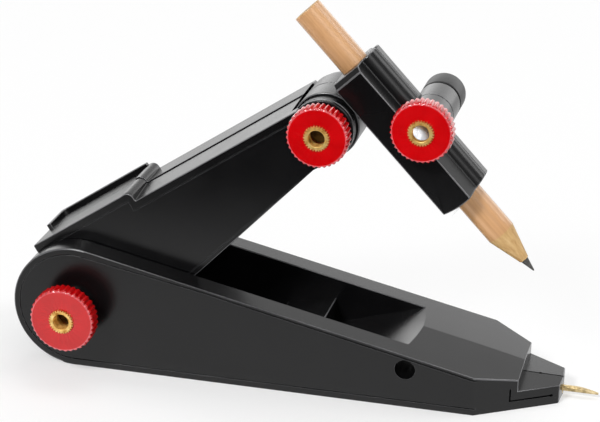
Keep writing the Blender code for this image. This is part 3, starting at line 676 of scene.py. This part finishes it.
# Points every 0.1 mm along a closed loop
def dense(loop):
    lines = []
    for a, b in zip(loop, np.roll(loop, -1, 0)):
        steps = max(2, int(np.linalg.norm(b - a) / .0001))
        lines.append(a + (b - a) * np.linspace(0, 1, steps)[:, None])
    return np.concatenate(lines)


denseLoops = [dense(loop) for loop in loops]


def nearLoop(along, up):
    return min(np.linalg.norm(loop - (along, up), axis=1).min() for loop in denseLoops) < .0002


# Finer rounds in the grooves and along the seam
def armShare(at):
    if abs(at.y) < .0004:
        return .25
    x, z = at.x - basePivot[0], at.z - basePivot[2]
    c, s = math.cos(math.radians(arm["angle"])), math.sin(math.radians(arm["angle"]))
    inGroove = arm["half"] - abs(at.y) < .0005 and nearLoop(x * c + z * s, z * c - x * s)
    return .08 if inGroove else .45


for shell, node in ((armNear, "arm_near_shell"), (armFar, "arm_far_shell")):
    soften(shell, arm["edge"], edgeHighlightAbs, armShare)
    standFor(shell, "arm", node)
print("arm made")

# In the clamp q stands off from the swivel axis and u runs down along the pencil, so z = -u
clamp = {
    "angle": 43.5, "hub": .0085, "hubHalf": .00845, "neck": .0080, "half": .0093, "seam": .00015,
    "above": .0065, "below": .0365, "inner": .00825, "outer": .0165, "railTop": .0203,
    "slope": 11.0, "slopeFrom": .0125, "slopeFull": .0195, "bore": .0131, "pencil": .0039,
    "bolt": (.0198, -.0154), "boss": .0054, "edge": .0004,
    "endCut": .0015, "endRound": .0200, "endMiddle": .0140, "washer": .0066, "washerFrom": .00745, "washerTo": .00875,
    "jaws": {"Near": (-1, .0036, .0034, .0004), "Far": (1, .0031, .0008, .0012)},     # side, rail, crown, cove
}


def inClamp(points):
    return placed(points, swivelPivot, clamp["angle"])


# A jaw's section (q, y) across the pencil: flat near and outer faces, then a rise to the rail's foot at
# q = outer + (half - rail) tan(slope), a hollow, and the rail with its round top
def jawSection(side, rail, crown, cove, slope):
    half, outer, top = clamp["half"], clamp["outer"], clamp["railTop"]
    root = outer + (half - rail) * math.tan(math.radians(slope))
    corners = [(clamp["seam"], clamp["inner"], 0), (half, clamp["inner"], 0), (half, outer, 0)]
    corners += [(rail + .0002, root, cove), (rail, top, crown), (clamp["seam"], top, 0)]
    return (rounded(corners, 12) * (side, 1))[:, ::-1]


# The block's upper end has its corners cut, seen across its width
def endShape():
    half, cut = clamp["half"] + .001, clamp["endCut"] + .001
    above, low = clamp["above"], -clamp["below"] - .001
    upper = [(half, above - cut), (half - cut, above), (cut - half, above), (-half, above - cut)]
    return np.array([(-half, low), (half, low)] + upper)


# Its lower end is a shallow round seen from the side: u = below - (q - endMiddle)^2 / (2 endRound)
def lowEnd():
    q = np.linspace(clamp["inner"] - .002, clamp["railTop"] + .002, 24)
    u = clamp["below"] - (q - clamp["endMiddle"]) ** 2 / (2 * clamp["endRound"])
    return np.concatenate((np.column_stack((q, -u)), [(q[-1], .01), (q[0], .01)]))


bore = turnedGrid([(-.05, clamp["pencil"]), (.05, clamp["pencil"])], 72)
bore = np.stack((bore[..., 0] + clamp["bore"], bore[..., 2], bore[..., 1]), -1)
neckX, neckHalf = clamp["inner"] + .0003, clamp["neck"] / 2
neck = [(0, -neckHalf), (neckX, -neckHalf), (neckX, neckHalf), (0, neckHalf)]
for name, (side, rail, crown, cove) in clamp["jaws"].items():
    levels = [(clamp["above"] + .0002, 0), (-clamp["slopeFrom"], 0)]
    levels += [(-clamp["slopeFull"], clamp["slope"]), (-clamp["below"] - .0002, clamp["slope"])]
    grid = stacked([(jawSection(side, rail, crown, cove, slope), z) for z, slope in levels], 2)
    jaw = placedSolid("clamp" + name + "Jaw", grid, inClamp, polishedAbs)
    carve(jaw, stacked([(endShape(), 0), (endShape(), .03)], 0), "INTERSECT", inClamp)
    carve(jaw, slab(lowEnd(), -.012, .012), "INTERSECT", inClamp)
    seam, end = side * (clamp["seam"] + tuck), side * clamp["hubHalf"]
    carve(jaw, turnedGrid([(seam, clamp["hub"]), (end, clamp["hub"])], 120), "UNION", inClamp)
    carve(jaw, slab(neck, seam + side * tuck, end - side * .0003), "UNION", inClamp)
    bossRows = [(seam, clamp["boss"]), (side * (clamp["half"] + tuck), clamp["boss"])]
    carve(jaw, turnedGrid(bossRows, 64, at=clamp["bolt"]), "UNION", inClamp)
    carve(jaw, bore, place=inClamp)
    carve(jaw, throughBar(bushHole, 48), place=inClamp)
    carve(jaw, throughBar(boltHole, 48, clamp["bolt"]), place=inClamp)
    washerRows = [(side * clamp["washerFrom"], clamp["washer"]), (side * clamp["washerTo"], clamp["washer"])]
    carve(jaw, turnedGrid(washerRows, 64), place=inClamp)
    soften(jaw, clamp["edge"], edgeHighlightAbs, lambda at: .35 if abs(at.y) < .0004 else .7)
    standFor(jaw, "holder", "holder_" + name.lower() + "_jaw")
print("clamp made")

# Knobs, inserts, bolts and spacers are all turned about y
knob = {
    "ribs": 36, "ribDepth": .00042, "face": .00075, "rim": .0042, "socket": .0034, "neck": .0052,
    "teeth": 28, "toothDepth": .0005, "bore": .00255, "mouth": .0021, "pitch": .0008, "threadDepth": .0002,
    "bolt": .0024, "headAcross": .0080, "headHigh": .0034, "lip": .0028, "fit": .00006,
}


# From 0 at low to 1 at high: 3 t^2 - 2 t^3
def smoothStep(x, low, high):
    t = np.clip((x - low) / (high - low), 0, 1)
    return t * t * (3 - 2 * t)


# Round ribs with narrow valleys: depth * (1 - |sin(ribs * angle / 2)|) ^ 0.8
def ribWave(angle, y):
    return knob["ribDepth"] * (1 - np.abs(np.sin(knob["ribs"] * angle / 2))) ** .8


# Teeth of the insert and its socket: depth * (1/2 - cos(teeth * angle) / 2) ^ 0.8
def toothWave(angle, y):
    return knob["toothDepth"] * (.5 - .5 * np.cos(knob["teeth"] * angle)) ** .8


# A thread: depth * (1 - |2 phase - 1|), where the phase moves one pitch along y for each turn
def threadWave(angle, y):
    phase = (y / knob["pitch"] + angle / (2 * np.pi)) % 1
    return knob["threadDepth"] * (1 - np.abs(2 * phase - 1))


# A knob and its insert, open to a depth behind the face for the bolt's end; gives the face's y
def makeKnob(name, centre, radius, recess):
    low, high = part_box(name)
    front, back = low.y, high.y
    shoulder, floor = front + knob["rim"], back - .001
    rows = [(front, knob["socket"], .00012), (front, radius - .0012, 0), (front, radius - .0009, 0)]
    rows += [(front, radius, knob["face"]), (shoulder, radius, .0005), (shoulder, knob["neck"], .0002)]
    rows += [(back, knob["neck"], .0001), (back, boltHole, 0), (floor, boltHole, 0), (floor, knob["socket"], 0)]
    rows = rounded(rows, 7)
    inSocket = rows[:, 1] < knob["socket"] + .0002
    share = np.where(inSocket, 1, smoothStep(rows[:, 1], radius - .0006, radius - .0002))

    def bothWaves(angle, y):
        return np.where(inSocket[:, None], toothWave(angle, y), ribWave(angle, y))

    grid = turnedGrid(np.column_stack((rows, share)), knob["ribs"] * 12, bothWaves, centre)
    body = solid(name + "Body", *skin(grid, True), glossRed, 50)

    def onRim(at):
        across = np.hypot(at[:, 0] - centre[0], at[:, 2] - centre[1])
        return (at[:, 1] < front + .0003) & (radius - .00078 < across) & (across < radius - .0003)

    # The ring just inside the face's edge is painted paler red: a painted highlight
    addFinish(body, highlightRimRed, onRim)
    standFor(body, name, name)

    low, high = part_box(name + "_insert")
    near, far, size = low.y, high.y, knob["socket"] - knob["fit"]
    lip = near + min(knob["lip"], recess - .0003)
    outer = [(near, knob["mouth"], .00015), (near, size, .00005), (far, size, .0001), (far, knob["bore"] + .0002, 0)]
    outer = rounded(outer)
    share = smoothStep(outer[:, 1], size - .0002, size - .0001)
    outerGrid = turnedGrid(np.column_stack((outer, share)), 224, toothWave, centre)
    y = np.concatenate((np.linspace(far - .0002, lip + .0003, 40), np.linspace(lip, near + .0003, 30)))
    radii = np.where(y > lip + .0001, knob["bore"], knob["mouth"]) + knob["threadDepth"]
    innerGrid = turnedGrid(np.column_stack((y, radii, np.ones(len(y)))), 224, threadWave, centre)
    insert = solid(name + "Insert", *skin(np.concatenate((outerGrid, innerGrid)), True), turnedBrass, 40)
    standFor(insert, name, name + "_insert")
    return front


# A bolt: its shank starts at y = near, in a flat face or one broken off at a slant, y = near + slant * (radius +
# .52 x + .86 z), and its hexagonal head has a 30 degree chamfer, r = lesser of hexagon and cone
def makeBolt(name, body, node, centre, near, headHigh, slant=0):
    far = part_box(node)[1].y
    seat = far - headHigh
    shank = rounded([(near, .0004, 0), (near, knob["bolt"], .0006), (seat, knob["bolt"], 0)], 8)
    grid = turnedGrid(shank, 144, at=centre)
    if slant:
        tip = shank[:, 0] < near + .0007
        x, z = grid[tip, :, 0] - centre[0], grid[tip, :, 2] - centre[1]
        grid[tip, :, 1] = near + slant * (knob["bolt"] + .52 * x + .86 * z)
    if headHigh:
        cone = np.array([.0039, .0050, .0050, .0046])
        rows = np.column_stack(([seat, seat + .0002, far - .0005, far], cone, np.ones(4)))

        def cutFlats(angle, y):
            return np.maximum(0, cone[:, None] - hexRadius(knob["headAcross"], angle))

        grid = np.concatenate((grid, turnedGrid(rows, 144, cutFlats, centre)))
    made = solid(name, *skin(grid), platedSteel)
    # A flat bolt end deep in a knob's bore is painted dark brown: painted shade with a painted warm reflection
    addFinish(made, boreShadeSteel, lambda at: (at[:, 1] < near + .0008) & (slant == 0))
    standFor(made, body, node)


def makeRing(name, body, node, centre, radius, edge=.0003):
    low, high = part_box(node)
    rows = rounded([(low.y, boltHole, 0), (low.y, radius, edge), (high.y, radius, edge), (high.y, boltHole, 0)], 4)
    ring = solid(name, *skin(turnedGrid(rows, 96, at=centre), True), polishedAbs)
    standFor(ring, body, node)


rearAt, swivelAt, clampAt = basePivot[[0, 2]], swivelPivot[[0, 2]], clampPivot[[0, 2]]
rearFront = makeKnob("rear_knob", rearAt, .0087, .0034)
swivelFront = makeKnob("swivel_knob", swivelAt, .0079, .0030)
clampFront = makeKnob("clamp_knob", clampAt, .0079, .0018)
makeBolt("rearBolt", "base", "rear_pivot_bolt", rearAt, rearFront + .0040, knob["headHigh"])
makeBolt("swivelBolt", "arm", "swivel_bolt", swivelAt, swivelFront + .0031, knob["headHigh"])
makeBolt("clampBolt", "holder", "clamp_bolt", clampAt, clampFront + .0016, 0, slant=.55)
makeRing("rearSpacer", "base", "rear_spacer", rearAt, .0054)
makeRing("swivelSpacer", "arm", "swivel_spacer", swivelAt, .0079)
makeRing("clampWasher", "holder", "clamp_washer", clampAt, .0046, edge=.0001)

barrel = {"radius": .0054, "depth": .0018, "edge": .0008, "endRadius": .0030}
low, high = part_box("clamp_barrel")
rows = [(high.y - barrel["depth"], boltHole, 0), (low.y, boltHole, 0), (low.y, barrel["radius"], .0003)]
rows = rounded(rows + [(high.y, barrel["radius"], barrel["edge"]), (high.y, barrel["endRadius"], 0)], 6)
clampBarrel = solid("clampBarrel", *skin(turnedGrid(rows, 96, at=clampAt)), mattAbs)
standFor(clampBarrel, "holder", "clamp_barrel")

# Arm screws: pan heads with a cross recess, in the far shell
screw = {"radius": .0012, "head": .0025, "headHigh": .0020, "cross": .0014, "crossWide": .00025, "crossDeep": .0011}
for label, at in zip(("rear", "front"), arm["screws"]):
    low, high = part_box("arm_screw_" + label)
    seat = high.y - screw["headHigh"]
    rows = [(low.y, .0008, 0), (low.y, screw["radius"], .0002), (seat, screw["radius"], 0)]
    rows = rounded(rows + [(seat, screw["head"], .0002), (high.y, screw["head"], .0007)], 5)
    made = placedSolid("armScrew" + label.title(), turnedGrid(rows, 72, at=at), inArm, platedSteel)
    for s, h in ((screw["cross"], screw["crossWide"]), (screw["crossWide"], screw["cross"])):
        cross = [(at[0] - s, at[1] - h), (at[0] + s, at[1] - h), (at[0] + s, at[1] + h), (at[0] - s, at[1] + h)]
        carve(made, slab(cross, high.y - screw["crossDeep"], beyond), place=inArm)
    made.data.set_sharp_from_angle(angle=math.radians(35))
    standFor(made, "arm", "arm_screw_" + label)
print("turned parts made")

pencil = {
    "radius": .0038, "above": .0245, "below": .0626, "cone": .0130, "core": .00118,
    "lead": .0011, "leadShown": .0039, "point": .00006,
}


# A shape turned about the pencil's own axis: rows of (u, radius)
def alongPencil(rows, count):
    grid = turnedGrid(rows, count)
    return inClamp(np.stack((grid[..., 0] + clamp["bore"], grid[..., 2], -grid[..., 1]), -1))


# The wood is a tube, its long faces split along the barrel
top, coneTop, leadTop = -pencil["above"], pencil["below"] - pencil["cone"], pencil["below"] - pencil["leadShown"]
rows = [(top, pencil["core"], 0), (top, pencil["radius"], .00018), (coneTop, pencil["radius"], 0)]
rows = rounded(rows + [(leadTop, pencil["core"] + .0001, 0), (leadTop, pencil["core"], 0)])
straight = np.column_stack((np.linspace(top + .0003, coneTop, 30), np.full(30, pencil["radius"])))
split = int(np.argmax(rows[:, 0] > top + .0002))
rows = np.concatenate((rows[:split], straight[:-1], rows[split:]))
wood = solid("pencilWood", *skin(alongPencil(rows, 96), True), varnishedWood)


def isBare(at):
    along = (at - inClamp((clamp["bore"], 0, 0))) @ slideAxis
    return (along > coneTop) | (along < top + .00008)


addFinish(wood, bareWood, isBare)
standFor(wood, "pencil", "pencil_wood")
rows = [(top, pencil["lead"]), (leadTop - .0003, pencil["lead"]), (leadTop, .00108)]
rows += [(pencil["below"] - .0004, .00026), (pencil["below"] - .0001, .00017), (pencil["below"], pencil["point"])]
lead = solid("pencilLead", *skin(alongPencil(rows, 64)), leadGraphite, 60)
standFor(lead, "pencil", "pencil_lead")

# The pin: turned along x, its end ground to a flat bevel z <= level(x); below the middle the sides follow the circle
pin = {"radius": .0008, "endRadius": .0007, "chamfer": .0001, "bevel": .0060, "bevelAll": .007}
low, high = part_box("scribing_pin")
bevelX = high.x - pin["bevel"]
x = np.concatenate(([low.x, low.x + pin["chamfer"], bevelX - .0004], np.linspace(bevelX, high.x, 24)))
radius = np.where(x < low.x + pin["chamfer"] / 2, pin["endRadius"], pin["radius"])
angle = np.linspace(0, 2 * np.pi, 48, endpoint=False)[None, :]
level = pin["radius"] - np.maximum(0, x - bevelX)[:, None] * 2 * pin["radius"] / pin["bevelAll"]
y, z = radius[:, None] * np.cos(angle), radius[:, None] * np.sin(angle)
chord = np.sqrt(pin["radius"] ** 2 - np.minimum(level, 0) ** 2)
cut = z > level
y, z = np.where(cut, np.clip(y, -chord, chord), y), np.where(cut, level, z)
scribingPin = solid("scribingPin", *skin(np.stack((x[:, None] + 0 * y, y, z + pinZ), -1)), paleBrass)
standFor(scribingPin, "pin", "scribing_pin")

collar = {"bore": .00088, "radius": .0015}
low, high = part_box("pin_collar")
rows = [(low.x, collar["bore"], 0), (low.x, collar["radius"], .00005)]
rows = rounded(rows + [(high.x, collar["radius"], .00012), (high.x, collar["bore"], .00008)], 3)
pinCollar = solid("pinCollar", *skin(alongX(rows, 48), True), paleBrass)
standFor(pinCollar, "base", "pin_collar")

for name in ("hub_bush", "hub_washer_near", "hub_washer_far", "arm_pivot_bush"):
    node = frame["nodes"][name]
    node.data.materials.clear()
    node.data.materials.append(platedSteel)
print("pencil and pin made")

studio = {
    "eye": (.1094, -.4649, .2363), "target": (-.00705, 0, .0429), "lens": 120.5, "roll": .79,
    "floorHalf": 4.0, "floorZ": -.00005, "backdropAt": 3.2, "backdropHigh": 4.5, "darkFrom": -.090, "darkTo": -.135,
    "lightBehind": (-.01, .03),
}


# Paper, matt white: bright where the camera looks, and plain diffuse where light bounces, so that the shadow stays.
# The floor brightens behind the tool, and what gloss mirrors of it fades towards the front.
def paperFinish(name, shade, fades):
    made, tree = emptyMaterial(name)
    rays = addNode(tree, "LightPath").outputs
    white = addNode(tree, "Emission", {"Strength": 1.0})
    paper = addNode(tree, "BsdfDiffuse", {"Color": linear("#f8f8f8")})
    seen = addNode(tree, "MixShader", {0: shade, 1: paper.outputs[0], 2: white.outputs[0]})
    mirrored = addNode(tree, "Emission", {"Strength": 1.0})
    if fades:
        y = addNode(tree, "SeparateXYZ", {0: addNode(tree, "TexCoord").outputs["Object"]}).outputs[1]
        feed(tree, seen, {0: ranged(tree, y, *studio["lightBehind"], shade, .9)})
        feed(tree, mirrored, {"Strength": ranged(tree, y, studio["darkTo"], studio["darkFrom"])})
    gloss = addNode(tree, "Math", {0: rays["Is Glossy Ray"], 1: rays["Is Transmission Ray"]}, operation="MAXIMUM")
    first = addNode(tree, "MixShader", {0: rays["Is Camera Ray"], 1: paper.outputs[0], 2: seen.outputs[0]})
    both = addNode(tree, "MixShader", {0: gloss.outputs[0], 1: first.outputs[0], 2: mirrored.outputs[0]})
    addNode(tree, "OutputMaterial", {"Surface": both.outputs[0]})
    return made


def plane(name, corners, finish):
    mesh = bpy.data.meshes.new(name)
    mesh.from_pydata(corners, [], [(0, 1, 2, 3)])
    mesh.materials.append(finish)
    newObject(name, mesh)


half, level = studio["floorHalf"], studio["floorZ"]
far, high = studio["backdropAt"], studio["backdropHigh"]
flat = [(-half, -half, level), (half, -half, level), (half, half, level), (-half, half, level)]
plane("floor", flat, paperFinish("whitePaper", .4, True))
wall = [(-half, far, 0), (half, far, 0), (half, far, high), (-half, far, high)]
plane("backdrop", wall, paperFinish("whiteBackdrop", 1.0, False))

world = bpy.data.worlds.new("studio")
bpy.context.scene.world = world
world.use_nodes = True
tree = world.node_tree
tree.nodes.clear()
rays = addNode(tree, "LightPath").outputs
lit, mirrored, seen = [
    addNode(tree, "Background", {"Color": (1, 1, 1, 1), "Strength": strength}) for strength in (.18, .45, 1.0)]
one = addNode(tree, "MixShader", {0: rays["Is Glossy Ray"], 1: lit.outputs[0], 2: mirrored.outputs[0]})
two = addNode(tree, "MixShader", {0: rays["Is Camera Ray"], 1: one.outputs[0], 2: seen.outputs[0]})
addNode(tree, "OutputWorld", {"Surface": two.outputs[0]})


def softLamp(name, at, towards, size, power):
    lamp = bpy.data.lights.new(name, "AREA")
    lamp.shape, (lamp.size, lamp.size_y), lamp.energy = "RECTANGLE", size, power
    aim = (Vector(towards) - Vector(at)).to_track_quat("-Z", "Y").to_matrix().to_4x4()
    newObject(name, lamp).matrix_world = Matrix.Translation(at) @ aim


softLamp("overhead", (0, .45, 1.35), (0, 0, 0), (.9, .4), 4)
softLamp("frontLeft", (-.48, -1.09, 1.07), (0, 0, .03), (.35, .35), 17)
softLamp("frontRight", (.62, -.88, .75), (0, 0, .05), (.6, .6), 3)
softLamp("behind", (0, 3.1, .62), (0, 0, .3), (6.0, 1.15), 28)
softLamp("fromRight", (1.25, .45, 1.2), (0, 0, .03), (.8, .8), 8)

eye, target = Vector(studio["eye"]), Vector(studio["target"])
ahead = (target - eye).normalized()
right = ahead.cross(Vector((0, 0, 1))).normalized()
up = right.cross(ahead)
c, s = math.cos(math.radians(studio["roll"])), math.sin(math.radians(studio["roll"]))
across, above = right * c + up * s, up * c - right * s
camera = newObject("camera", bpy.data.cameras.new("camera"))
camera.matrix_world = Matrix.Translation(eye) @ Matrix((across, above, -ahead)).transposed().to_4x4()
camera.data.lens, camera.data.sensor_width = studio["lens"], 36
camera.data.clip_start, camera.data.clip_end = .01, 20
bpy.context.scene.camera = camera
bpy.context.scene.view_settings.view_transform = "Standard"
print("studio made")
